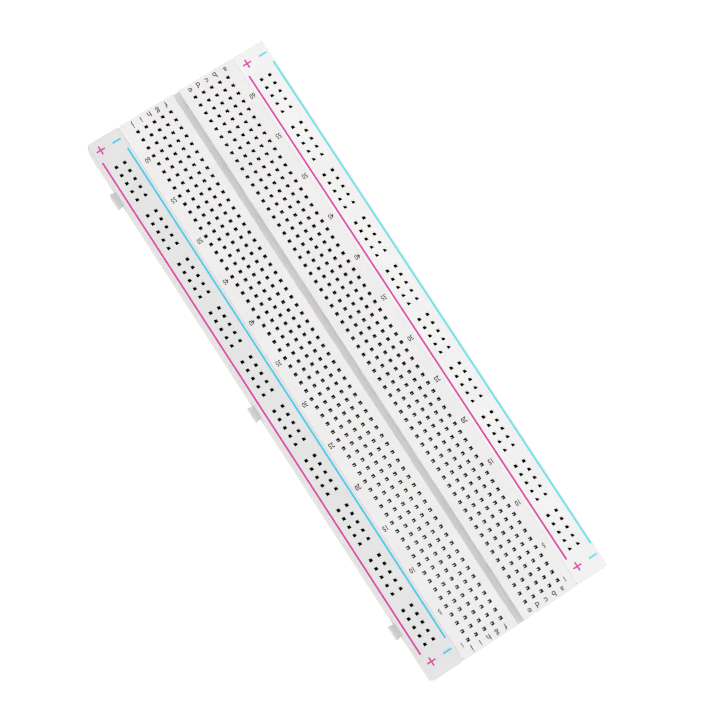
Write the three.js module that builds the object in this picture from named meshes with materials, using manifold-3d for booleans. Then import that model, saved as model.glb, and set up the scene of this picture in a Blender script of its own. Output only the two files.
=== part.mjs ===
// A solderless breadboard, in millimetres with +Z up.
//
// One wide terminal strip lies between two narrow bus strips. Each strip is a moulded housing with
// contact holes in its top face, spring contacts in cells that are open underneath, a foam pad that
// closes them and a paper liner under the foam. Dovetail tabs on each strip's -Y side slide into
// sockets in the next strip's +Y side; the sockets are open below, so a strip lifts off upwards.
//
// The origin is on the table, under the centre of the hole grid. X runs along the board, with row 1
// at the +X end. Y runs across it: column a, and the back bus strip, are on the +Y side.

import * as THREE from "three";
import { mergeGeometries, mergeVertices } from "three/addons/utils/BufferGeometryUtils.js";
import Module from "manifold-3d";

const wasm = await Module();
wasm.setup();

// ---- driving dimensions ----

const PITCH = 2.54; // between neighbouring contact holes, both ways
const ROWS = 63; // rows of contact holes in the terminal strip
const HOLES_PER_CLIP = 5; // holes in half a row, which share one spring clip
const END_MARGIN = 3.96; // from the first and last rows to the board's ends
const BOARD_LENGTH = (ROWS - 1) * PITCH + 2 * END_MARGIN;
const BOARD_HEIGHT = 8.5;
const TERMINAL_WIDTH = 14 * PITCH;
const BUS_WIDTH = 3.75 * PITCH;
const SEAM_GAP = 0.12; // between the side walls of neighbouring strips

const LINER_THICKNESS = 0.15;
const FOAM_THICKNESS = 0.8;
const PAD_INSET = 0.06; // how far foam and liner stay inside a strip's edge

const HOLE_WIDTH = 0.9; // contact holes are square
const HOLE_DEPTH = 1.6; // from the top face down to the cell that holds the contact
const INNER_COLUMN = 1.5 * PITCH; // columns e and f, from the centre line
const BUS_GROUPS = 10; // groups of holes along each bus line
const HOLES_PER_GROUP = 5;
const BUS_GROUP_PITCH = 6 * PITCH;
const BUS_LINE_OFFSET = PITCH / 2; // a bus line, from its strip's centre line
const RELIEF_DEPTH = 0.35; // shallow relief in the terminal housing's underside, along each bank of cells

const CORNER_RADIUS = 0.6;
const CORNER_STEPS = 2; // each step is two chords of a rounded corner
const RAVINE_WIDTH = 1.94;
const RAVINE_DEPTH = 1.5;
const RAVINE_CHAMFER = 0.3;

const TAB_SPACING = 67;
const TAB_ROOT_WIDTH = 3.6;
const TAB_TIP_WIDTH = 4.2;
const TAB_REACH = 1.65;
const TAB_HEIGHT = 3.6;
const TAB_LIFT = 0.75; // from a housing's underside up to its tabs
const SOCKET_CLEARANCE = 0.12;

const SHEET_METAL = 0.2;
const CLIP_CLEARANCE = 0.1; // from a contact to the walls of its cell
const CONTACT_LIFT = 0.05; // from the foam to a contact's base
const CLIPS_PER_NODE = 3; // neighbouring clips joined by their base: the fewest that keep to 60 nodes

const CUT_MARGIN = 1; // how far a cutting tool reaches past the faces it opens

// ---- derived heights and positions ----

const FOAM_BOTTOM = LINER_THICKNESS;
const HOUSING_BOTTOM = FOAM_BOTTOM + FOAM_THICKNESS;
const CELL_CEILING = BOARD_HEIGHT - HOLE_DEPTH;
const CONTACT_BOTTOM = HOUSING_BOTTOM + CONTACT_LIFT;
const CONTACT_TOP = CELL_CEILING - CLIP_CLEARANCE;
const CONTACT_WIDTH = HOLE_WIDTH - 2 * CLIP_CLEARANCE;
const BUS_CENTRE = (TERMINAL_WIDTH + BUS_WIDTH) / 2;
const BANK_CENTRE = INNER_COLUMN + ((HOLES_PER_CLIP - 1) / 2) * PITCH;
const BANK_WIDTH = (HOLES_PER_CLIP - 1) * PITCH + HOLE_WIDTH;

// ---- materials ----

const moulded = new THREE.MeshStandardMaterial({ color: 0xf1f1f0, roughness: 0.42, metalness: 0 });
const springMetal = new THREE.MeshStandardMaterial({ color: 0xc3c1ba, roughness: 0.32, metalness: 1 });
const foam = new THREE.MeshStandardMaterial({ color: 0xf2ecd6, roughness: 0.95, metalness: 0 });
const paper = new THREE.MeshStandardMaterial({ color: 0xe9dcae, roughness: 0.7, metalness: 0 });

// ---- helpers ----

// A closed geometry as a solid that can be joined or cut.
function solidOf(geometry) {
  const bare = geometry.clone();
  bare.deleteAttribute("normal");
  bare.deleteAttribute("uv");
  const merged = mergeVertices(bare, 1e-4);
  return new wasm.Manifold(
    new wasm.Mesh({
      numProp: 3,
      vertProperties: new Float32Array(merged.attributes.position.array),
      triVerts: new Uint32Array(merged.index.array),
    }),
  );
}

function geometryOf(solid) {
  const mesh = solid.getMesh();
  const geometry = new THREE.BufferGeometry();
  geometry.setAttribute("position", new THREE.BufferAttribute(mesh.vertProperties, 3));
  geometry.setIndex(new THREE.BufferAttribute(mesh.triVerts, 1));
  geometry.computeVertexNormals();
  return geometry;
}

// Prisms: an outline of [u, v] points pushed out by depth, half of it each way from the outline's plane.
function prism(outline, depth) {
  const shape = outline instanceof THREE.Shape
    ? outline
    : new THREE.Shape(outline.map(([u, v]) => new THREE.Vector2(u, v)));
  const geometry = new THREE.ExtrudeGeometry(shape, { depth, bevelEnabled: false, curveSegments: CORNER_STEPS });
  return geometry.translate(0, 0, -depth / 2);
}

// A prism whose outline lies in the XZ plane, centred on y = 0.
function prismAlongY(outline, depth) {
  return prism(outline, depth).rotateX(Math.PI / 2);
}

// A prism whose outline lies in the YZ plane, centred on x = 0.
function prismAlongX(outline, depth) {
  const turned = new THREE.Matrix4().makeBasis(
    new THREE.Vector3(0, 1, 0),
    new THREE.Vector3(0, 0, 1),
    new THREE.Vector3(1, 0, 0),
  );
  return prism(outline, depth).applyMatrix4(turned);
}

// A box between two heights, centred at (x, y).
function block(x, y, length, width, bottom, top) {
  return new THREE.BoxGeometry(length, width, top - bottom).translate(x, y, (bottom + top) / 2);
}

// A rectangle with rounded corners, in the XY plane, centred on the origin.
function roundedRectangle(length, width, radius) {
  const [x, y] = [length / 2, width / 2];
  const shape = new THREE.Shape();
  shape.absarc(x - radius, y - radius, radius, 0, Math.PI / 2);
  shape.absarc(-x + radius, y - radius, radius, Math.PI / 2, Math.PI);
  shape.absarc(-x + radius, -y + radius, radius, Math.PI, 1.5 * Math.PI);
  shape.absarc(x - radius, -y + radius, radius, 1.5 * Math.PI, 2 * Math.PI);
  return shape;
}

// A plate with rounded corners, between two heights, centred on the origin.
function plate(length, width, bottom, top) {
  return prism(roundedRectangle(length, width, CORNER_RADIUS), top - bottom)
    .translate(0, 0, (bottom + top) / 2);
}

// Positions of count things, step apart, centred on 0.
function spread(count, step) {
  return Array.from({ length: count }, (_, i) => (i - (count - 1) / 2) * step);
}

// ---- contact holes and the cells under them ----

// The space of one cell and of the square holes above it, at the given places along the cell.
// The cell is as wide as a hole and ends flush with its first and last holes.
function cellOutline(places) {
  const [below, above, half] = [HOUSING_BOTTOM - CUT_MARGIN, BOARD_HEIGHT + CUT_MARGIN, HOLE_WIDTH / 2];
  const outline = [
    [places[0] - half, below],
    [places.at(-1) + half, below],
  ];
  places.toReversed().forEach((place, i, reversed) => {
    outline.push([place + half, above], [place - half, above]);
    if (i < reversed.length - 1)
      outline.push([place - half, CELL_CEILING], [reversed[i + 1] + half, CELL_CEILING]);
  });
  return outline;
}

// All cells of the terminal strip: one per half row, on both sides of the centre line.
function terminalCells() {
  const cell = prismAlongX(cellOutline(spread(HOLES_PER_CLIP, PITCH)), HOLE_WIDTH);
  const cells = spread(ROWS, PITCH).flatMap((x) =>
    [-BANK_CENTRE, BANK_CENTRE].map((y) => cell.clone().translate(x, y, 0)),
  );
  return solidOf(mergeGeometries(cells));
}

const busPlaces = spread(BUS_GROUPS, BUS_GROUP_PITCH).flatMap((centre) =>
  spread(HOLES_PER_GROUP, PITCH).map((offset) => centre + offset),
);

// The two long cells of a bus strip that lies on the centre line.
function busCells() {
  const cell = prismAlongY(cellOutline(busPlaces), HOLE_WIDTH);
  const cells = [-BUS_LINE_OFFSET, BUS_LINE_OFFSET].map((y) => cell.clone().translate(0, y, 0));
  return solidOf(mergeGeometries(cells));
}

// ---- dovetails ----

// A dovetail tab's outline: its root is on y = 0 and it reaches towards -Y.
function dovetail(clearance) {
  const [root, tip] = [TAB_ROOT_WIDTH / 2 + clearance, TAB_TIP_WIDTH / 2 + clearance];
  const reach = TAB_REACH + clearance;
  return [[-root, CUT_MARGIN], [-root, 0], [-tip, -reach], [tip, -reach], [root, 0], [root, CUT_MARGIN]];
}

// Three tabs on a wall at the given y.
function tabs(wall) {
  const tab = prism(dovetail(0), TAB_HEIGHT)
    .translate(0, wall, HOUSING_BOTTOM + TAB_LIFT + TAB_HEIGHT / 2);
  return solidOf(mergeGeometries(spread(3, TAB_SPACING).map((x) => tab.clone().translate(x, 0, 0))));
}

// The space of three sockets in a wall that faces +Y, for tabs whose own wall is a seam gap away.
// It goes down through the foam and liner too, which are notched to pass over the tabs.
function sockets(wall) {
  const [bottom, top] = [-CUT_MARGIN, HOUSING_BOTTOM + TAB_LIFT + TAB_HEIGHT + SOCKET_CLEARANCE];
  const socket = prism(dovetail(SOCKET_CLEARANCE), top - bottom)
    .translate(0, wall + SEAM_GAP, (top + bottom) / 2);
  return solidOf(mergeGeometries(spread(3, TAB_SPACING).map((x) => socket.clone().translate(x, 0, 0))));
}

// ---- housings, each on its own centre line ----

// The groove along the middle of the terminal strip, with chamfered edges.
function ravine() {
  const [half, lip] = [RAVINE_WIDTH / 2, RAVINE_WIDTH / 2 + RAVINE_CHAMFER];
  const [floor, shoulder] = [BOARD_HEIGHT - RAVINE_DEPTH, BOARD_HEIGHT - RAVINE_CHAMFER];
  const above = BOARD_HEIGHT + CUT_MARGIN;
  const outline = [
    [-half, floor], [half, floor], [half, shoulder], [lip, BOARD_HEIGHT],
    [lip, above], [-lip, above], [-lip, BOARD_HEIGHT], [-half, shoulder],
  ];
  return solidOf(prismAlongX(outline, BOARD_LENGTH + 2 * CUT_MARGIN));
}

// Shallow reliefs in the underside, one along each bank of cells.
function reliefs() {
  const length = (ROWS - 1) * PITCH + HOLE_WIDTH;
  const banks = [-BANK_CENTRE, BANK_CENTRE].map((y) =>
    block(0, y, length, BANK_WIDTH, HOUSING_BOTTOM - CUT_MARGIN, HOUSING_BOTTOM + RELIEF_DEPTH),
  );
  return solidOf(mergeGeometries(banks));
}

// A housing's outer shape: wall positions are its -Y and +Y sides.
function shell(front, back) {
  const body = plate(BOARD_LENGTH, back - front, HOUSING_BOTTOM, BOARD_HEIGHT)
    .translate(0, (front + back) / 2, 0);
  return solidOf(body).add(tabs(front)).subtract(sockets(back));
}

function terminalHousing() {
  const wall = (TERMINAL_WIDTH - SEAM_GAP) / 2;
  const solid = shell(-wall, wall).subtract(ravine()).subtract(terminalCells()).subtract(reliefs());
  return geometryOf(solid);
}

// side is -1 for the front bus strip and 1 for the back one; its seam faces the terminal strip.
function busHousing(side) {
  const [outer, seam] = [(side * BUS_WIDTH) / 2, (-side * (BUS_WIDTH - SEAM_GAP)) / 2];
  return geometryOf(shell(Math.min(outer, seam), Math.max(outer, seam)).subtract(busCells()));
}

// ---- contacts ----

// Section through a run of spring contacts, each a channel with two upright leaves, on one base.
function contactSection(centres) {
  const [outer, inner] = [CONTACT_WIDTH / 2, CONTACT_WIDTH / 2 - SHEET_METAL];
  const base = CONTACT_BOTTOM + SHEET_METAL;
  const outline = [
    [centres[0] - outer, CONTACT_BOTTOM],
    [centres.at(-1) + outer, CONTACT_BOTTOM],
  ];
  centres.toReversed().forEach((c, i, reversed) => {
    outline.push([c + outer, CONTACT_TOP], [c + inner, CONTACT_TOP], [c + inner, base]);
    outline.push([c - inner, base], [c - inner, CONTACT_TOP], [c - outer, CONTACT_TOP]);
    if (i < reversed.length - 1) outline.push([c - outer, base], [reversed[i + 1] + outer, base]);
  });
  return outline;
}

// Neighbouring clips of one bank, each as long as its half row of holes.
const clipGroup = prismAlongY(
  contactSection(spread(CLIPS_PER_NODE, PITCH)),
  BANK_WIDTH - 2 * CLIP_CLEARANCE,
);

const busContact = prismAlongX(
  contactSection([0]),
  busPlaces.at(-1) - busPlaces[0] + HOLE_WIDTH - 2 * CLIP_CLEARANCE,
);

// ---- assembly ----

function part(name, geometry, material, x = 0, y = 0) {
  const mesh = new THREE.Mesh(geometry, material);
  mesh.name = name;
  mesh.position.set(x, y, 0);
  return mesh;
}

// A layer under a strip of the given width, notched where the strip has its sockets.
function pad(width, bottom, top) {
  const layer = plate(BOARD_LENGTH - 2 * PAD_INSET, width - 2 * PAD_INSET, bottom, top);
  return geometryOf(solidOf(layer).subtract(sockets((width - SEAM_GAP) / 2)));
}

// The foam pad and its paper liner under a strip.
function pads(strip, width) {
  return [
    part(`${strip}_foam_pad`, pad(width, FOAM_BOTTOM, HOUSING_BOTTOM), foam),
    part(`${strip}_liner`, pad(width, 0, FOAM_BOTTOM), paper),
  ];
}

function terminalStrip() {
  const strip = new THREE.Group();
  strip.add(part("terminal_housing", terminalHousing(), moulded), ...pads("terminal", TERMINAL_WIDTH));
  const groups = spread(ROWS / CLIPS_PER_NODE, CLIPS_PER_NODE * PITCH);
  for (const [columns, y] of [["ae", BANK_CENTRE], ["fj", -BANK_CENTRE]])
    groups.toReversed().forEach((x, i) => {
      const rows = [i * CLIPS_PER_NODE + 1, (i + 1) * CLIPS_PER_NODE];
      const [first, last] = rows.map((row) => String(row).padStart(2, "0"));
      strip.add(part(`clips_${columns}_rows_${first}_${last}`, clipGroup, springMetal, x, y));
    });
  return strip;
}

function busStrip(name, side) {
  const strip = new THREE.Group();
  strip.add(
    part(`${name}_housing`, busHousing(side), moulded),
    part(`${name}_plus_contact`, busContact, springMetal, 0, -BUS_LINE_OFFSET),
    part(`${name}_minus_contact`, busContact, springMetal, 0, BUS_LINE_OFFSET),
    ...pads(name, BUS_WIDTH),
  );
  strip.position.y = side * BUS_CENTRE;
  return strip;
}

const breadboard = new THREE.Group();
breadboard.add(terminalStrip(), busStrip("front_bus", -1), busStrip("back_bus", 1));

export default breadboard;
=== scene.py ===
"""Looks of a solderless breadboard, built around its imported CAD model. Metres, +Z up."""

import math

import bmesh
import bpy
from mathutils import Matrix, Vector, noise


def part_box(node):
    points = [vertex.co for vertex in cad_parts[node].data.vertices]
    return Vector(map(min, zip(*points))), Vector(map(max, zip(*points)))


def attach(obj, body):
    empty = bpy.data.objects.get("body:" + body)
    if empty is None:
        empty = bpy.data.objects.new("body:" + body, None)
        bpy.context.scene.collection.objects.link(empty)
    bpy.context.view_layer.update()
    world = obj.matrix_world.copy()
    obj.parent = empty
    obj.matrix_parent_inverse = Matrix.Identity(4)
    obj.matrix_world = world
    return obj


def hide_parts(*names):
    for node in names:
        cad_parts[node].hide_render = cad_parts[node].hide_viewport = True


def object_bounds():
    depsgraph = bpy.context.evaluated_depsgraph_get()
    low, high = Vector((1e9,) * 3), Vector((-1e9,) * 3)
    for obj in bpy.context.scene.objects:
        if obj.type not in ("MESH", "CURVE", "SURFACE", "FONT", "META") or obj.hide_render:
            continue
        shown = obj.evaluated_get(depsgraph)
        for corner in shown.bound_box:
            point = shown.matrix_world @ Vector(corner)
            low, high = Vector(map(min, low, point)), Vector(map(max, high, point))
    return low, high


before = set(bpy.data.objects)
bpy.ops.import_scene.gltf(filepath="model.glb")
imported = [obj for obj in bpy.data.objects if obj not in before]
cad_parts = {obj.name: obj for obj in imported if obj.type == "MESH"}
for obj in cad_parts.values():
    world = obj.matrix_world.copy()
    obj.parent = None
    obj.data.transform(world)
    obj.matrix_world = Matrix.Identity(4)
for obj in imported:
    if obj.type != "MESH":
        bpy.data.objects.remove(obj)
cad_box = [list(corner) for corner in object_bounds()]

# ---- driving dimensions ----

MM = 0.001
PITCH = 2.54 * MM
ROWS = 63
HOLES_PER_CLIP = 5
CLIPS_PER_NODE = 3
BUS_GROUPS = 10
HOLES_PER_GROUP = 5
BUS_GROUP_PITCH = 6 * PITCH
INNER_COLUMN = 1.5 * PITCH  # columns e and f, from the centre line

HOLE_WIDTH = 0.9 * MM  # the throat of a contact hole, and the width of the cell under it
# a hole's flared mouth: (depth below the top face, width)
HOLE_MOUTH = ((0, 1.06 * MM), (0.04 * MM, 0.98 * MM), (0.12 * MM, 0.92 * MM), (0.26 * MM, HOLE_WIDTH))
HOLE_DEPTH = 1.6 * MM
WEB_DEPTH = 0.1 * MM  # from the top face to the corner webs of the bus strips' holes
WEB = {"front_bus": 0.12 * MM, "back_bus": 0.22 * MM}  # how far a web fills its corner, on average
WEB_SHARES = (0.6, 0.85, 1, 1.2, 1.35)  # of that, for each of a group's holes
RAVINE_WIDTH = 1.84 * MM
RAVINE_DEPTH = 1.5 * MM
CORNER_RADIUS = 0.6 * MM
CORNER_SEGMENTS = 5
EDGE_RADIUS = 0.28 * MM
EDGE_SEGMENTS = 3
SEAM_EDGE_SHARE = 0.1  # of that radius, along a seam
FOOT_EDGE_SHARE = 0.4

TABS = 3  # on each strip
TAB_SPACING = 67 * MM
TAB_ROOT_WIDTH = 3.6 * MM
TAB_TIP_WIDTH = 4.2 * MM
TAB_REACH = 1.65 * MM
TAB_HEIGHT = 3.6 * MM
TAB_LIFT = 0.75 * MM
TAB_EDGE_RADIUS = 0.12 * MM
TAB_EDGE_SEGMENTS = 2
TAB_OVERLAP = 0.6 * MM  # how far a tab reaches into the wall that it is joined to
CUT_MARGIN = MM  # how far a cutting tool reaches past the faces it opens
SOCKET_CLEARANCE = 0.12 * MM
SEAM_GAP = 0.12 * MM
# how far both mouldings bulge into the gap at each seam, so that it is a hairline
SEAM_SWELL = {"front": 0.046 * MM, "back": 0.055 * MM}

SHEET_METAL = 0.1 * MM
INK_HEIGHT = 0.025 * MM
LINE_WIDTH = {"plus": 0.49 * MM, "minus": 0.52 * MM}

STRIPS = ("terminal", "front_bus", "back_bus")
BODY = {name: f"{name}_strip" for name in STRIPS}
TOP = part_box("terminal_housing")[1].z
INK_LOW, INK_HIGH = TOP - INK_HEIGHT / 2, TOP + INK_HEIGHT


def spread(count, step):
    """Positions of count things, step apart, centred on 0."""
    return [(i - (count - 1) / 2) * step for i in range(count)]


BUS_PLACES = [centre + offset for centre in spread(BUS_GROUPS, BUS_GROUP_PITCH)
              for offset in spread(HOLES_PER_GROUP, PITCH)]


# ---- materials ----

CLOUDING = 0.955  # the darker clouds in the styrene, as a share of its colour
DEEP_LIGHT = 0.08  # painted shade: the share of its colour that a cell's inside keeps where it is deep
SHOWING_WHITE = 0.82  # the white that shows through the ink
INK_THINNING = 0.08  # how much of it shows where the ink is thin


class Nodes:
    """A material's node tree, with the few kinds of node that the materials here use."""

    def __init__(self, name):
        self.material = bpy.data.materials.new(name)
        self.material.use_nodes = True
        self.tree = self.material.node_tree
        self.shader = self.tree.nodes["Principled BSDF"]
        self.place = self.tree.nodes.new("ShaderNodeTexCoord").outputs["Object"]

    def link(self, source, node, socket):
        self.tree.links.new(source, node.inputs[socket])

    def noise(self, size, detail=3.0, stretch=(1, 1, 1)):
        """Noise whose blobs are about size metres across; stretch lengthens them along an axis."""
        scaled = self.tree.nodes.new("ShaderNodeMapping")
        scaled.inputs["Scale"].default_value = [1 / (size * s) for s in stretch]
        self.link(self.place, scaled, "Vector")
        node = self.tree.nodes.new("ShaderNodeTexNoise")
        node.inputs["Scale"].default_value = 1.0
        node.inputs["Detail"].default_value = detail
        self.link(scaled.outputs["Vector"], node, "Vector")
        return node.outputs["Fac"]

    def cells(self, size):
        """Distance to the nearest of a scatter of points about size metres apart."""
        node = self.tree.nodes.new("ShaderNodeTexVoronoi")
        node.inputs["Scale"].default_value = 1 / size
        self.link(self.place, node, "Vector")
        return node.outputs["Distance"]

    def between(self, factor, low, high, start=0.3, end=0.7):
        """A number that runs from low to high as factor runs from start to end."""
        node = self.tree.nodes.new("ShaderNodeMapRange")
        for socket, value in (("From Min", start), ("From Max", end), ("To Min", low), ("To Max", high)):
            node.inputs[socket].default_value = value
        self.link(factor, node, "Value")
        return node.outputs["Result"]

    def blend(self, factor, low, high, start=0.3, end=0.7):
        """A colour that runs from low to high as factor runs from start to end."""
        node = self.tree.nodes.new("ShaderNodeValToRGB")
        for stop, at, colour in zip(node.color_ramp.elements, (start, end), (low, high)):
            stop.position = at
            stop.color = (*colour, 1)
        self.link(factor, node, "Fac")
        return node.outputs["Color"]

    def height_above(self, z):
        """Height above z, in metres, where z is a height at rest."""
        split = self.tree.nodes.new("ShaderNodeSeparateXYZ")
        self.link(self.place, split, "Vector")
        node = self.tree.nodes.new("ShaderNodeMath")
        node.operation = "SUBTRACT"
        node.inputs[1].default_value = z
        self.link(split.outputs["Z"], node, 0)
        return node.outputs["Value"]

    def shaded(self, colour, share):
        """A colour darkened to share of itself."""
        node = self.tree.nodes.new("ShaderNodeVectorMath")
        node.operation = "SCALE"
        self.link(colour, node, "Vector")
        self.link(share, node, "Scale")
        return node.outputs["Vector"]

    def colour(self, source):
        self.link(source, self.shader, "Base Color")

    def roughness(self, source):
        self.link(source, self.shader, "Roughness")

    def bump(self, source, depth, strength=1.0):
        node = self.tree.nodes.new("ShaderNodeBump")
        node.inputs["Distance"].default_value = depth
        node.inputs["Strength"].default_value = strength
        self.link(source, node, "Height")
        self.link(node.outputs["Normal"], self.shader, "Normal")


def moulded_plastic(name, colour, inside=False):
    """White styrene: faint clouding in the colour, a fine satin grain and shallow waves in the gloss. The
    inside of a cell has painted shade: its colour is darker the deeper it is, standing in for the shade
    there, as no light comes through the walls."""
    n = Nodes(name)
    clouded = [c * CLOUDING for c in colour]
    surface = n.blend(n.noise(9 * MM, detail=4), clouded, colour)
    if inside:
        # painted shade: the colour darkens with depth below the top face
        light = n.between(n.height_above(TOP), DEEP_LIGHT, 1, start=-0.8 * MM, end=-0.12 * MM)
        surface = n.shaded(surface, light)
    n.colour(surface)
    n.roughness(n.between(n.noise(2.5 * MM), 0.36, 0.5))
    n.bump(n.noise(0.12 * MM, detail=2), depth=0.004 * MM, strength=0.5)
    n.shader.inputs["IOR"].default_value = 1.53
    return n.material


def spring_metal():
    """Nickel-plated spring strip: rolled streaks along Y and a slight warm tarnish."""
    n = Nodes("nickel_plated_spring")
    n.colour(n.blend(n.noise(1.4 * MM), (0.62, 0.58, 0.5), (0.8, 0.78, 0.74)))
    n.roughness(n.between(n.noise(0.08 * MM, detail=2, stretch=(1, 14, 1)), 0.09, 0.18))
    n.bump(n.noise(0.06 * MM, detail=1, stretch=(1, 20, 1)), depth=0.002 * MM, strength=0.5)
    n.shader.inputs["Metallic"].default_value = 1.0
    return n.material


def cell_foam():
    """Closed-cell foam tape: open bubbles along its cut edge, in a warm off-white, with painted shade
    darkening the middle of each bubble's pit.
    """
    n = Nodes("closed_cell_foam")
    bubbles = n.cells(0.16 * MM)
    # painted shade: each bubble is darker towards its middle, where its pit is deepest
    n.colour(n.blend(bubbles, (0.5, 0.44, 0.3), (0.86, 0.81, 0.68), start=0.05, end=0.55))
    n.bump(bubbles, depth=0.05 * MM)
    n.shader.inputs["Roughness"].default_value = 0.92
    return n.material


def liner_paper():
    """Silicone-coated paper: cream, with faint fibres."""
    n = Nodes("release_liner_paper")
    fibres = n.noise(0.5 * MM, detail=6, stretch=(5, 1, 1))
    n.colour(n.blend(fibres, (0.78, 0.68, 0.42), (0.88, 0.79, 0.55)))
    n.roughness(n.between(n.noise(4 * MM), 0.45, 0.62))
    n.bump(fibres, depth=0.006 * MM, strength=0.6)
    return n.material


def printed_ink(name, colour):
    """Pad-printed ink: a little thinner here and there, so that the white shows through."""
    n = Nodes(name)
    thin = [c + (SHOWING_WHITE - c) * INK_THINNING for c in colour]
    n.colour(n.blend(n.noise(0.16 * MM, detail=4), thin, colour, start=0.34, end=0.56))
    n.roughness(n.between(n.noise(0.3 * MM), 0.42, 0.6))
    n.bump(n.noise(0.1 * MM, detail=2), depth=0.003 * MM, strength=0.5)
    return n.material


def light_table():
    """The pale floor, which glows a little so that the object hardly shades it."""
    n = Nodes("light_table")
    n.colour(n.blend(n.noise(60 * MM), (0.14, 0.14, 0.14), (0.16, 0.16, 0.16)))
    n.shader.inputs["Roughness"].default_value = 0.8
    n.shader.inputs["Specular IOR Level"].default_value = 0.1
    n.shader.inputs["Emission Color"].default_value = (1, 0.985, 0.96, 1)
    n.shader.inputs["Emission Strength"].default_value = 0.92
    return n.material


# each strip's grey: darker on the front bus strip and lighter on the back bus strip than on the terminal
# strip
STYRENE = {"terminal": (0.74, 0.73, 0.727), "front_bus": (0.673, 0.673, 0.673),
           "back_bus": (0.769, 0.762, 0.76)}
METAL = spring_metal()
FOAM = cell_foam()
PAPER = liner_paper()
MAGENTA = printed_ink("magenta_ink", (0.6, 0.03, 0.315))
CYAN = {"front_bus": printed_ink("cyan_ink_front", (0.03, 0.5, 0.68)),
        "back_bus": printed_ink("cyan_ink_back", (0.11, 0.63, 0.684))}
GREY = printed_ink("grey_ink", (0.05, 0.042, 0.045))


# ---- meshes ----

WELD = 0.00001 * MM  # corners this close share a vertex
CREASE = 30  # degrees: sharper edges are shaded crisp, unless a piece says otherwise


class Faces:
    """Collects faces by their corners' places; corners in one place share a vertex. Faces get the number
    of the material slot in slot."""

    def __init__(self):
        self.points, self.found, self.faces, self.slot = [], {}, [], 0

    def at(self, point):
        key = tuple(round(c / WELD) for c in point)
        if key not in self.found:
            self.found[key] = len(self.points)
            self.points.append(tuple(point))
        return self.found[key]

    def add(self, *corners):
        self.faces.append(([self.at(c) for c in corners], self.slot))

    def bmesh(self):
        bm = bmesh.new()
        verts = [bm.verts.new(p) for p in self.points]
        for face, slot in self.faces:
            bm.faces.new([verts[i] for i in face]).material_index = slot
        bmesh.ops.recalc_face_normals(bm, faces=bm.faces)
        return bm


def piece_from(bm, name, *materials, sharp=CREASE):
    """A smooth-shaded object from a bmesh, with the edges over sharp degrees left crisp."""
    mesh = bpy.data.meshes.new(name)
    bm.to_mesh(mesh)
    bm.free()
    for material in materials:
        mesh.materials.append(material)
    mesh.shade_smooth()
    mesh.set_sharp_from_angle(angle=math.radians(sharp))
    return add_object(name, mesh)


def add_object(name, data):
    obj = bpy.data.objects.new(name, data)
    bpy.context.scene.collection.objects.link(obj)
    return obj


def apply_modifiers(obj):
    """Puts the result of an object's modifiers into its mesh."""
    evaluated = obj.evaluated_get(bpy.context.evaluated_depsgraph_get())
    made = bpy.data.meshes.new_from_object(evaluated)
    obj.modifiers.clear()
    obj.data = made


def prism(outline, low, high):
    """A bmesh that fills an outline of (x, y) points between two heights."""
    faces = Faces()
    faces.add(*[(x, y, low) for x, y in outline])
    faces.add(*[(x, y, high) for x, y in outline])
    for (x, y), (u, v) in zip(outline, outline[1:] + outline[:1]):
        faces.add((x, y, low), (u, v, low), (u, v, high), (x, y, high))
    return faces.bmesh()


def bevel(bm, edges, width, segments):
    bmesh.ops.bevel(bm, geom=list(edges), offset=width, segments=segments, profile=0.5,
                    affect="EDGES", clamp_overlap=False)


# ---- housings ----

SAME_PLACE = 0.001 * MM  # places closer than this are one
UPRIGHT, LEVEL = 0.1, 0.9  # a face is upright, or level, if its normal's Z is under, or over, these


class Shell:
    """Sizes of one strip's housing, from its CAD node's box."""

    def __init__(self, strip):
        low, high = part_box(f"{strip}_housing")
        self.left, self.right = low.x, high.x
        swell = {"terminal": (SEAM_SWELL["front"], SEAM_SWELL["back"]),
                 "front_bus": (0, SEAM_SWELL["front"]),
                 "back_bus": (SEAM_SWELL["back"], 0)}[strip]
        self.front = low.y + TAB_REACH - swell[0]
        self.back = high.y + swell[1]
        self.foot, self.top = low.z, high.z
        self.ceiling = self.top - HOLE_DEPTH
        self.middle = (low.y + TAB_REACH + high.y) / 2
        self.seams = [y for y, bulge in zip((self.front, self.back), swell) if bulge]


def bands(start, end, places, width, groove=None):
    """Splits a span into (low, high, kind) bands: a hole band at each place, solid ones between."""
    cuts = [(p - width / 2, p + width / 2, "hole") for p in places]
    if groove:
        cuts.append((*groove, "groove"))
    made, at = [], start
    for low, high, kind in sorted(cuts):
        made += [(at, low, "solid"), (low, high, kind)]
        at = high
    return made + [(at, end, "solid")]


def hole_and_cell(faces, shell, places, put, webs=None):
    """The inside of one cell: its holes at the given places, put(u, v, z) being a point u along the cell
    and v across it. Under the holes the cell is as wide as their throats. webs says how far the web in
    the low u, high v corner of each hole reaches."""
    half = HOLE_WIDTH / 2

    def ring(place, reach, z, web=0):
        return [(place - reach, -reach, z), (place + reach, -reach, z), (place + reach, reach, z),
                (place - reach + web, reach - web, z)]

    for place, web in zip(places, webs or [0] * len(places)):
        rings = [ring(place, width / 2, shell.top - depth, web if depth > WEB_DEPTH else 0)
                 for depth, width in HOLE_MOUTH]
        rings.append(ring(place, half, shell.ceiling))
        for upper, lower in zip(rings, rings[1:]):
            for i in range(4):
                j = (i + 1) % 4
                faces.add(put(*upper[i]), put(*upper[j]), put(*lower[j]), put(*lower[i]))
    for here, there in zip(places, places[1:]):
        faces.add(*[put(u, v, shell.ceiling) for u, v in (
            (here + half, -half), (there - half, -half), (there - half, half), (here + half, half))])
    stations = [p + side * half for p in places for side in (-1, 1)]
    for v in (-half, half):
        for u, w in zip(stations, stations[1:]):
            faces.add(put(u, v, shell.ceiling), put(w, v, shell.ceiling),
                      put(w, v, shell.foot), put(u, v, shell.foot))
    for u in (stations[0], stations[-1]):
        faces.add(put(u, -half, shell.ceiling), put(u, half, shell.ceiling),
                  put(u, half, shell.foot), put(u, -half, shell.foot))


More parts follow.
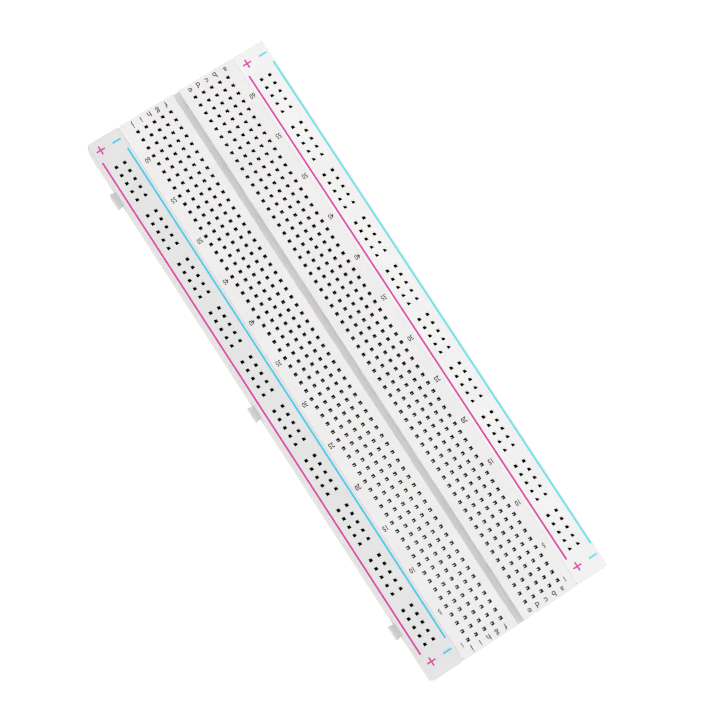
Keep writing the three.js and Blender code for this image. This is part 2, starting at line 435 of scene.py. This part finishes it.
def housing_faces(shell, columns, lines, cells, groove=None):
    """A housing with square walls. columns and lines are the X and Y places of its holes, and cells is a
    list of (low x, high x, low y, high y, function that adds the cell's inside)."""
    faces = Faces()
    mouth = HOLE_MOUTH[0][1]
    upper = (bands(shell.left, shell.right, columns, mouth),
             bands(shell.front, shell.back, lines, mouth, groove))
    lower = (bands(shell.left, shell.right, columns, HOLE_WIDTH),
             bands(shell.front, shell.back, lines, HOLE_WIDTH, groove))

    def quad(x, y, z):
        faces.add((x[0], y[0], z), (x[1], y[0], z), (x[1], y[1], z), (x[0], y[1], z))

    for x in upper[0]:
        for y in upper[1]:
            if y[2] == "groove":
                quad(x, y, shell.top - RAVINE_DEPTH)
            elif (x[2], y[2]) != ("hole", "hole"):
                quad(x, y, shell.top)
    for x in lower[0]:
        for y in lower[1]:
            u, v = (x[0] + x[1]) / 2, (y[0] + y[1]) / 2
            if not any(a < u < b and c < v < d for a, b, c, d, _ in cells):
                quad(x, y, shell.foot)
    faces.slot = 1
    for *_, add_inside in cells:
        add_inside(faces)
    faces.slot = 0

    top_x = [shell.left] + [x[1] for x in upper[0]]
    foot_x = [shell.left] + [x[1] for x in lower[0]]
    for y in (shell.front, shell.back):
        faces.add(*[(x, y, shell.foot) for x in foot_x], *[(x, y, shell.top) for x in reversed(top_x)])
    profile = [(shell.front, shell.top)]
    for low, high, kind in upper[1]:
        deep = shell.top - (RAVINE_DEPTH if kind == "groove" else 0)
        profile += [(y, deep) for y in (low, high) if (y, deep) not in profile]
    foot_y = [shell.front] + [y[1] for y in lower[1]]
    for x in (shell.left, shell.right):
        faces.add(*[(x, y, shell.foot) for y in foot_y], *[(x, y, z) for y, z in reversed(profile)])
    if groove:
        for y in groove:
            for low, high, _ in upper[0]:
                faces.add((low, y, shell.top), (high, y, shell.top),
                          (high, y, shell.top - RAVINE_DEPTH), (low, y, shell.top - RAVINE_DEPTH))
    return faces


def round_outer_edges(bm, shell):
    """Rounds a housing's upright corners, and marks how much its top and foot edges are to be rounded."""

    def near(a, b):
        return abs(a - b) < SAME_PLACE

    def at_corner(point):
        return ((near(point.x, shell.left) or near(point.x, shell.right))
                and (near(point.y, shell.front) or near(point.y, shell.back)))

    bevel(bm, [e for e in bm.edges if all(at_corner(v.co) for v in e.verts)], CORNER_RADIUS, CORNER_SEGMENTS)

    def turns_down(edge, z):
        """Whether an edge at height z joins a level face to an upright one."""
        if len(edge.link_faces) != 2 or not all(near(v.co.z, z) for v in edge.verts):
            return False
        tilts = sorted(abs(f.normal.z) for f in edge.link_faces)
        return tilts[0] < UPRIGHT and tilts[1] > LEVEL

    def along(edge, y):
        return all(near(v.co.y, y) for v in edge.verts)

    def outside(edge):
        middle = (edge.verts[0].co + edge.verts[1].co) / 2
        return not (shell.left + CORNER_RADIUS < middle.x < shell.right - CORNER_RADIUS
                    and shell.front + CORNER_RADIUS < middle.y < shell.back - CORNER_RADIUS)

    bm.normal_update()
    rounding = bm.edges.layers.float.new("bevel_weight_edge")
    for edge in bm.edges:
        if turns_down(edge, shell.top):
            edge[rounding] = SEAM_EDGE_SHARE if any(along(edge, y) for y in shell.seams) else 1
        elif turns_down(edge, shell.foot) and outside(edge):
            edge[rounding] = FOOT_EDGE_SHARE


def dovetail(wall, clearance, root):
    """A dovetail's outline, its root on the line y = wall and reaching root further the other way."""
    narrow, wide = TAB_ROOT_WIDTH / 2 + clearance, TAB_TIP_WIDTH / 2 + clearance
    tip = wall - TAB_REACH - clearance
    return [(-narrow, wall + root), (-narrow, wall), (-wide, tip),
            (wide, tip), (narrow, wall), (narrow, wall + root)]


def dovetails(name, wall, low, high, clearance, root, radius):
    """Three dovetail prisms in one object, for joining to a housing or cutting from one."""
    bm = prism(dovetail(wall, clearance, root), low, high)
    if radius:
        bevel(bm, bm.edges, radius, TAB_EDGE_SEGMENTS)
    mesh = bpy.data.meshes.new(name)
    bm.to_mesh(mesh)
    bm.clear()
    for x in spread(TABS, TAB_SPACING):
        bm.from_mesh(mesh)
        bmesh.ops.translate(bm, vec=(x, 0, 0), verts=bm.verts[-len(mesh.vertices):])
    bm.to_mesh(mesh)
    bm.free()
    return add_object(name, mesh)


def combine(obj, tool, operation):
    """Joins tool to an object's mesh, or cuts it away."""
    modifier = obj.modifiers.new(operation.lower(), "BOOLEAN")
    modifier.operation = operation
    modifier.solver = "EXACT"
    modifier.object = tool
    apply_modifiers(obj)
    bpy.data.objects.remove(tool)


def finish_housing(strip, faces, shell):
    bm = faces.bmesh()
    round_outer_edges(bm, shell)
    # the second material, for the cells' insides, is the same styrene with painted shade
    obj = piece_from(bm, f"{strip}_housing_moulding", moulded_plastic(f"{strip}_styrene", STYRENE[strip]),
                     moulded_plastic(f"{strip}_styrene_painted_shade", STYRENE[strip], inside=True))
    edges = obj.modifiers.new("edges", "BEVEL")
    edges.limit_method = "WEIGHT"
    edges.width = EDGE_RADIUS
    edges.segments = EDGE_SEGMENTS
    edges.use_clamp_overlap = False
    apply_modifiers(obj)
    low = shell.foot + TAB_LIFT
    tabs = dovetails("tabs", shell.front, low, low + TAB_HEIGHT, 0, TAB_OVERLAP, TAB_EDGE_RADIUS)
    combine(obj, tabs, "UNION")
    sockets = dovetails("sockets", shell.back + SEAM_GAP, shell.foot - CUT_MARGIN,
                        low + TAB_HEIGHT + SOCKET_CLEARANCE, SOCKET_CLEARANCE, CUT_MARGIN, 0)
    combine(obj, sockets, "DIFFERENCE")
    obj.data.set_sharp_from_angle(angle=math.radians(CREASE))
    even = obj.modifiers.new("even_shading", "WEIGHTED_NORMAL")
    even.keep_sharp = True
    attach(obj, BODY[strip])
    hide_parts(f"{strip}_housing")


def terminal_housing():
    shell = Shell("terminal")
    columns = spread(ROWS, PITCH)
    banks = [[side * (INNER_COLUMN + i * PITCH) for i in range(HOLES_PER_CLIP)] for side in (-1, 1)]
    half = HOLE_WIDTH / 2
    cells = []
    for x in columns:
        for bank in banks:
            places = sorted(bank)

            def inside(faces, x=x, places=places):
                hole_and_cell(faces, shell, places, lambda u, v, z: (x + v, u, z))

            cells.append((x - half, x + half, places[0] - half, places[-1] + half, inside))
    groove = (shell.middle - RAVINE_WIDTH / 2, shell.middle + RAVINE_WIDTH / 2)
    faces = housing_faces(shell, columns, sorted(banks[0] + banks[1]), cells, groove)
    finish_housing("terminal", faces, shell)


def bus_line(strip, sign):
    """The Y place of a bus line: the middle of its contact's box."""
    low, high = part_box(f"{strip}_{sign}_contact")
    return (low.y + high.y) / 2


def bus_housing(strip):
    shell = Shell(strip)
    half = HOLE_WIDTH / 2
    lines = sorted(bus_line(strip, sign) for sign in ("plus", "minus"))
    webs = [WEB[strip] * share for share in WEB_SHARES] * BUS_GROUPS
    cells = []
    for y in lines:

        def inside(faces, y=y):
            hole_and_cell(faces, shell, BUS_PLACES, lambda u, v, z: (u, y + v, z), webs)

        cells.append((BUS_PLACES[0] - half, BUS_PLACES[-1] + half, y - half, y + half, inside))
    finish_housing(strip, housing_faces(shell, BUS_PLACES, lines, cells), shell)


# ---- spring contacts ----

STRIP_WIDTH = 0.72  # of the pitch: the sheet at each place, below the slits between the fingers
CONTACT_CREASE = 50  # degrees: sharper bends in the sheet are shaded as edges

# One leaf of a contact's section, from its base up: (how far across the cell, height, finger width), as
# shares of the contact's half width, of its height and of the pitch. A clip's two leaves meet at their
# tips, under the middle of the hole; a bus contact's pinch a lead lower down and open out again.
CLIP_LEAF = ((0.55, 0.0, None), (0.8, 0.035, None), (0.9, 0.12, None), (0.9, 0.3, None),
             (0.88, 0.42, 0.72), (0.56, 0.7, 0.55), (0.25, 0.88, 0.5), (0.18, 0.95, 0.5), (0.18, 1.0, 0.5))
BUS_LEAF = ((0.55, 0.0, None), (0.8, 0.035, None), (0.9, 0.12, None), (0.9, 0.3, None),
            (0.8, 0.42, 0.72), (0.3, 0.66, 0.6), (0.2, 0.74, 0.5), (0.5, 0.86, 0.44), (0.88, 0.96, 0.4))


def contact_mesh(name, leaf, places, half_width, height):
    """A strip bent up into two rows of spring fingers, one pair at each place along Y, centred on x = 0."""
    faces = Faces()

    def level(side, point):
        """The finger edges' places along Y at one point of the section, and its X and Z."""
        across, up, width = point
        half = PITCH * (width or STRIP_WIDTH) / 2
        edges = [(p - half, p + half) for p in places]
        return side * across * half_width, up * height, edges, width is None

    def skin(one, other):
        x, z, edges, joined = one
        u, w, others, also_joined = other
        for (a, b), (c, d) in zip(edges, others):
            faces.add((x, a, z), (x, b, z), (u, d, w), (u, c, w))
        if joined and also_joined:
            for i in range(len(edges) - 1):
                faces.add((x, edges[i][1], z), (x, edges[i + 1][0], z),
                          (u, others[i + 1][0], w), (u, others[i][1], w))

    for side in (-1, 1):
        levels = [level(side, point) for point in leaf]
        for one, other in zip(levels, levels[1:]):
            skin(one, other)
    skin(level(-1, leaf[0]), level(1, leaf[0]))
    obj = piece_from(faces.bmesh(), name, METAL, sharp=CONTACT_CREASE)
    thick = obj.modifiers.new("sheet", "SOLIDIFY")
    thick.thickness = SHEET_METAL
    thick.offset = 0
    apply_modifiers(obj)
    mesh = obj.data
    mesh.set_sharp_from_angle(angle=math.radians(CONTACT_CREASE))
    bpy.data.objects.remove(obj)
    return mesh


def place_contact(name, mesh, x, y, z, turn, body, node):
    obj = add_object(name, mesh)
    obj.matrix_world = Matrix.Translation((x, y, z)) @ Matrix.Rotation(turn, 4, "Z")
    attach(obj, body)
    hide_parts(node)


def terminal_clips():
    """One clip for each half row of holes; a CAD node stands for three neighbouring ones."""
    low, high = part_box("clips_ae_rows_01_03")
    height = high.z - low.z
    half_width = (high.x - low.x) / 2 - (CLIPS_PER_NODE - 1) / 2 * PITCH
    mesh = contact_mesh("spring_clip", CLIP_LEAF, spread(HOLES_PER_CLIP, PITCH), half_width, height)
    for columns in ("ae", "fj"):
        for first in range(1, ROWS + 1, CLIPS_PER_NODE):
            node = f"clips_{columns}_rows_{first:02d}_{first + CLIPS_PER_NODE - 1:02d}"
            low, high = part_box(node)
            middle = (low + high) / 2
            for i, offset in enumerate(reversed(spread(CLIPS_PER_NODE, PITCH))):
                name = f"spring_clip_{columns}_row_{first + i:02d}"
                place_contact(name, mesh, middle.x + offset, middle.y, low.z, 0, BODY["terminal"], node)


def bus_contacts():
    low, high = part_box("front_bus_plus_contact")
    mesh = contact_mesh("bus_contact", BUS_LEAF, BUS_PLACES, (high.y - low.y) / 2, high.z - low.z)
    for strip in ("front_bus", "back_bus"):
        for sign in ("plus", "minus"):
            node = f"{strip}_{sign}_contact"
            place_contact(f"{node}_strip", mesh, 0, bus_line(strip, sign), low.z, math.pi / 2,
                          BODY[strip], node)


# ---- foam pads and liners ----

PAD_STEP = 0.9 * MM  # between the points of a pad's outline
PAD_LEVELS = 5
PAD_CORNER_STEPS = 4
WANDER_LENGTH = 1.6 * MM  # over which a cut edge wanders in and out
FOAM_WANDER = 0.12 * MM
LINER_WANDER = 0.03 * MM
PAD_CREASE = 40  # degrees


def pad_outline(strip, low, high, radius):
    """A pad's outline: a rectangle with round corners, notched for the sockets along its back edge."""
    centres = ((high.x - radius, low.y + radius, -90), (high.x - radius, high.y - radius, 0),
               (low.x + radius, high.y - radius, 90), (low.x + radius, low.y + radius, 180))
    corners = []
    for x, y, start in centres:
        turn = [math.radians(start + 90 * i / PAD_CORNER_STEPS) for i in range(PAD_CORNER_STEPS + 1)]
        corners.append([(x + radius * math.cos(t), y + radius * math.sin(t)) for t in turn])
    notch = dovetail(Shell(strip).back + SEAM_GAP, SOCKET_CLEARANCE, 0)
    notches = []
    for x in reversed(spread(TABS, TAB_SPACING)):
        mouth = [(x - px, py) for px, py in notch if py < high.y]
        notches += [(mouth[0][0], high.y), *mouth, (mouth[-1][0], high.y)]
    return corners[0] + corners[1] + notches + corners[2] + corners[3]


def stepped(outline, step):
    """The outline with points added so that none are further apart than step."""
    made = []
    for (x, y), (u, v) in zip(outline, outline[1:] + outline[:1]):
        count = max(1, math.ceil(math.hypot(u - x, v - y) / step))
        made += [(x + (u - x) * i / count, y + (v - y) * i / count) for i in range(count)]
    return made


def edge_wander(x, y, z, size):
    """A smooth number between -1 and 1 that varies over size metres."""
    return max(-1, min(1, 2 * noise.noise(Vector((x, y, z)) / size)))


def layer(name, strip, node, material, wander):
    """A flat layer whose cut edge wanders in by up to wander metres, and is waisted halfway up."""
    low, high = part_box(node)
    middle = (low + high) / 2
    outline = stepped(pad_outline(strip, low, high, CORNER_RADIUS), PAD_STEP)
    faces, rings = Faces(), []
    for i in range(PAD_LEVELS):
        share = i / (PAD_LEVELS - 1)
        z = low.z + (high.z - low.z) * share
        waist = math.sin(math.pi * share)
        ring = []
        for x, y in outline:
            inward = wander * (0.4 * waist + 0.3 + 0.3 * edge_wander(x, y, z * 3, WANDER_LENGTH))
            ring.append((x - math.copysign(min(inward, abs(x - middle.x)), x - middle.x),
                         y - math.copysign(min(inward, abs(y - middle.y)), y - middle.y), z))
        rings.append(ring)
    for lower, upper in zip(rings, rings[1:]):
        for i in range(len(outline)):
            j = (i + 1) % len(outline)
            faces.add(lower[i], lower[j], upper[j], upper[i])
    faces.add(*rings[0])
    faces.add(*rings[-1])
    obj = piece_from(faces.bmesh(), name, material, sharp=PAD_CREASE)
    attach(obj, BODY[strip])
    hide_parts(node)
    return obj


def pads():
    for strip in STRIPS:
        foam = layer(f"{strip}_foam_tape", strip, f"{strip}_foam_pad", FOAM, FOAM_WANDER)
        liner = layer(f"{strip}_release_liner", strip, f"{strip}_liner", PAPER, LINER_WANDER)


# ---- print ----

LINE_FROM_MIDDLE = 3.845 * MM  # a bus strip's printed lines, from its middle
LINE_ENDS = (2.3, 62.1)  # in rows
BAR_END_STEPS = 6
SIGN_ROWS = (1.15, 63.3)
SIGN_FROM_MIDDLE = 2.45 * MM
SIGN_SIZE = 2.5 * MM
PLUS_STROKE = 0.42 * MM
MINUS_STROKE = 0.5 * MM
PRINT_SHIFT = {"front_bus": (-0.14 * MM, 0.14 * MM), "back_bus": (0.2 * MM, 0.17 * MM)}

# The numbers' print isn't quite in line with the holes. For either bank: how far a number is off its row
# along X, and where its inner edge is along Y, at the first row and at the last.
NUMBER_LINES = {"a": (1, (0.75 * MM, 15.6 * MM), (-0.02 * MM, 16.05 * MM)),
                "j": (-1, (0.33 * MM, -15.85 * MM), (0.18 * MM, -15.1 * MM))}
NUMBER_HEIGHT = 1.45 * MM
NUMBER_SQUEEZE = 0.78  # width of the digits, as a share of the typeface's own
NUMBER_GAIN = 0.008  # how much bolder the strokes are than the typeface's own, in type sizes
HEAVY_ROWS = (18, 12)  # the print is heaviest about this row, and less so this many rows away
HEAVY_GAIN = 0.014
LETTER_ENDS = {"row_1": (0.046, -0.2 * MM), "row_63": (63.94, -0.08 * MM)}  # row, and shift along Y
LETTER_HEIGHT = 1.66 * MM
LETTER_SQUEEZE = 1.05
LETTER_GAIN = 0.006
STRAY_LETTER = ("row_63", "a", 0.65 * MM)  # one letter is printed further out than the rest
DIGIT_SHARE = 0.73  # a digit's height, as a share of the type size
NUMBERED_ROWS = (1, *range(5, ROWS, 5))
COLUMNS = "abcdefghij"


def row_x(row):
    """Where a row, or a place between rows, lies along X."""
    return ((ROWS + 1) / 2 - row) * PITCH


def column_y(column):
    """Where a terminal column lies, a being 0 and j 9."""
    gap = 2 * INNER_COLUMN - PITCH if column >= HOLES_PER_CLIP else 0
    return INNER_COLUMN + (HOLES_PER_CLIP - 1 - column) * PITCH - gap


def ink(name, bm, material, strip):
    obj = piece_from(bm, name, material)
    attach(obj, BODY[strip])


def rounded_bar(x0, x1, y, width):
    """The outline of a bar with half-round ends, along X."""
    r = width / 2
    turns = [math.radians(-90 + 180 * i / BAR_END_STEPS) for i in range(BAR_END_STEPS + 1)]
    right = [(x1 - r + r * math.cos(t), y + r * math.sin(t)) for t in turns]
    left = [(x0 + r - r * math.cos(t), y - r * math.sin(t)) for t in turns]
    return right + left


def printed(outline):
    return prism(outline, INK_LOW, INK_HIGH)


def cross(x, y, size, stroke):
    """The outline of a plus sign."""
    s, w = size / 2, stroke / 2
    arm = [(w, w), (w, s), (-w, s), (-w, w), (-s, w), (-s, -w),
           (-w, -w), (-w, -s), (w, -s), (w, -w), (s, -w), (s, w)]
    return [(x + px, y + py) for px, py in arm]


def square_bar(x, y, length, width):
    """The outline of a minus sign, which lies across the board."""
    return [(x + a * width / 2, y + b * length / 2) for a, b in ((1, -1), (1, 1), (-1, 1), (-1, -1))]


def bus_print(strip):
    """Two lines along a bus strip and a sign at each end of them: magenta plus at the front, cyan minus
    at the back."""
    shift_x, shift_y = PRINT_SHIFT[strip]
    middle = Shell(strip).middle + shift_y
    start, end = sorted(row_x(row) + shift_x for row in LINE_ENDS)
    for sign, side, material, slot in (("plus", -1, MAGENTA, "ink_magenta"),
                                       ("minus", 1, CYAN[strip], "ink_cyan")):
        bar = rounded_bar(start, end, middle + side * LINE_FROM_MIDDLE, LINE_WIDTH[sign])
        ink(f"{strip}_{sign}_line", printed(bar), material, strip)
        y = middle + side * SIGN_FROM_MIDDLE
        for row, place in zip(SIGN_ROWS, ("row_1", "row_63")):
            x = row_x(row) + shift_x
            outline = (cross(x, y, SIGN_SIZE, PLUS_STROKE) if sign == "plus"
                       else square_bar(x, y, SIGN_SIZE, MINUS_STROKE))
            ink(f"{strip}_{sign}_sign_{place}", printed(outline), material, strip)


def glyphs(bm, text, x, y, side, height, squeeze, gain):
    """Adds text to a bmesh, its top towards +X and its middle at x. It is centred on y, or lies on one
    side of it: 1 is +Y, -1 is -Y."""
    curve = bpy.data.curves.new("glyphs", "FONT")
    curve.body = text
    curve.size = height / DIGIT_SHARE
    curve.offset = gain * curve.size
    curve.resolution_u = 4
    curve.extrude = (INK_HIGH - INK_LOW) / 2
    holder = add_object("glyphs", curve)
    mesh = bpy.data.meshes.new_from_object(holder)
    mesh.transform(Matrix.Rotation(-math.pi / 2, 4, "Z") @ Matrix.Diagonal((squeeze, 1, 1, 1)))
    low, high = ([pick(v.co[axis] for v in mesh.vertices) for axis in (0, 1)] for pick in (min, max))
    edge = {1: low[1], -1: high[1], 0: (low[1] + high[1]) / 2}[side]
    mesh.transform(Matrix.Translation((x - (low[0] + high[0]) / 2, y - edge, (INK_LOW + INK_HIGH) / 2)))
    bm.from_mesh(mesh)
    bpy.data.objects.remove(holder)
    bpy.data.meshes.remove(mesh)


def row_numbers(bank):
    """Row numbers along the outer side of one bank: plain index marks."""
    side, *ends = NUMBER_LINES[bank]
    middle, width = HEAVY_ROWS
    bm = bmesh.new()
    for row in NUMBERED_ROWS:
        along = (row - 1) / (ROWS - 1)
        shift, y = (first + (last - first) * along for first, last in zip(*ends))
        gain = NUMBER_GAIN + HEAVY_GAIN * math.exp(-((row - middle) / width) ** 2)
        glyphs(bm, str(row), row_x(row) + shift, y, side, NUMBER_HEIGHT, NUMBER_SQUEEZE, gain)
    ink(f"row_numbers_{bank}_side", bm, GREY, "terminal")


def column_letters(end):
    """Column letters across one end of the terminal strip."""
    row, shift = LETTER_ENDS[end]
    bm = bmesh.new()
    for column, letter in enumerate(COLUMNS):
        stray = STRAY_LETTER[2] if (end, letter) == STRAY_LETTER[:2] else 0
        glyphs(bm, letter, row_x(row), column_y(column) + shift + stray, 0,
               LETTER_HEIGHT, LETTER_SQUEEZE, LETTER_GAIN)
    ink(f"column_letters_{end}_end", bm, GREY, "terminal")


# ---- camera, floor and light ----

CAMERA_AZIMUTH = 30.13
CAMERA_ELEVATION = 79.94
CAMERA_ROLL = 27.11
CAMERA_DISTANCE = 562.6 * MM
CAMERA_LENS = 108.22  # millimetres
CAMERA_SENSOR = 36  # millimetres
CAMERA_CLIP = (0.05, 20)  # metres
CAMERA_AIM = (3.25 * MM, 2.22 * MM)  # on the top face
FLOOR_REACH = 4  # metres, each way

TENT_STRENGTH = 1.73
TENT_TILT = 0.14  # how much brighter it is towards +Y, and darker towards -Y
TENT_FOOT = (12, 36)  # elevations between which it comes up to full strength, in degrees
TENT_FOOT_SHARE = 0.54  # of full strength, near the ground
TENT_RIM = (55, 66)  # elevations between which the tent fades out, in degrees
# lights mirrored in the contacts: their places, sizes and powers
GLINTS = {"low_rows": ((0.05, 0.24, 2.0), 0.34, 0.74), "high_rows": ((-0.57, 0.42, 2.0), 0.3, 0.8)}


def direction(azimuth, elevation):
    """From the object towards something at that azimuth and elevation, in degrees; azimuth 0 is -Y."""
    a, e = math.radians(azimuth), math.radians(elevation)
    return Vector((math.sin(a) * math.cos(e), -math.cos(a) * math.cos(e), math.sin(e)))


def camera():
    data = bpy.data.cameras.new("camera")
    data.sensor_width = CAMERA_SENSOR
    data.lens = CAMERA_LENS
    data.clip_start, data.clip_end = CAMERA_CLIP
    obj = add_object("camera", data)
    back = direction(CAMERA_AZIMUTH, CAMERA_ELEVATION)
    right = Vector((0, 0, 1)).cross(back).normalized()
    level = Matrix((right, back.cross(right), back)).transposed()
    axes = Matrix.Rotation(math.radians(CAMERA_ROLL), 3, back) @ level
    aim = Vector((*CAMERA_AIM, TOP))
    obj.matrix_world = Matrix.Translation(aim + back * CAMERA_DISTANCE) @ axes.to_4x4()
    bpy.context.scene.camera = obj


def floor():
    bm = bmesh.new()
    bmesh.ops.create_grid(bm, x_segments=8, y_segments=8, size=FLOOR_REACH)
    obj = piece_from(bm, "floor", light_table())
    obj.location.z = cad_box[0][2]


def tent():
    """A white tent all round. It is dimmer near the ground, closes to a dark opening overhead, and is a
    little brighter on the +Y side."""
    world = bpy.data.worlds.new("light_tent")
    world.use_nodes = True
    tree = world.node_tree
    towards = tree.nodes.new("ShaderNodeTexCoord").outputs["Generated"]
    split = tree.nodes.new("ShaderNodeSeparateXYZ")
    tree.links.new(towards, split.inputs["Vector"])

    def fade(elevations, low, high):
        """A factor that runs from low to high between two elevations, in degrees."""
        node = tree.nodes.new("ShaderNodeMapRange")
        start, end = (math.sin(math.radians(e)) for e in elevations)
        for socket, value in (("From Min", start), ("From Max", end), ("To Min", low), ("To Max", high)):
            node.inputs[socket].default_value = value
        tree.links.new(split.outputs["Z"], node.inputs["Value"])
        return node.outputs["Result"]

    def multiply(one, other):
        node = tree.nodes.new("ShaderNodeMath")
        node.operation = "MULTIPLY"
        tree.links.new(one, node.inputs[0])
        tree.links.new(other, node.inputs[1])
        return node.outputs["Value"]

    tilt = tree.nodes.new("ShaderNodeMath")
    tilt.operation = "MULTIPLY_ADD"
    tilt.inputs[1].default_value = TENT_TILT
    tilt.inputs[2].default_value = 1
    tree.links.new(split.outputs["Y"], tilt.inputs[0])
    level = multiply(fade(TENT_FOOT, TENT_FOOT_SHARE, 1), fade(TENT_RIM, TENT_STRENGTH, 0))
    tree.links.new(multiply(level, tilt.outputs["Value"]), tree.nodes["Background"].inputs["Strength"])
    tree.nodes["Background"].inputs["Color"].default_value = (1, 1, 1, 1)
    bpy.context.scene.world = world


def softbox(name, place, size, power):
    """A square light at a place above the board, facing its middle."""
    data = bpy.data.lights.new(name, "AREA")
    data.size = size
    data.energy = power
    obj = add_object(name, data)
    obj.location = place
    obj.rotation_mode = "QUATERNION"
    obj.rotation_quaternion = Vector(place).to_track_quat("Z", "Y")
    obj.visible_camera = False


def light():
    tent()
    for name, (place, size, power) in GLINTS.items():
        softbox(f"glint_{name}", place, size, power)
    bpy.context.scene.view_settings.view_transform = "Standard"
    bpy.context.scene.cycles.filter_width = 1.0  # narrower than the default of 1.5, for a crisper picture


# ---- assembly ----

camera()
floor()
light()
terminal_housing()
bus_housing("front_bus")
bus_housing("back_bus")
terminal_clips()
bus_contacts()
pads()
bus_print("front_bus")
bus_print("back_bus")
row_numbers("a")
row_numbers("j")
column_letters("row_1")
column_letters("row_63")
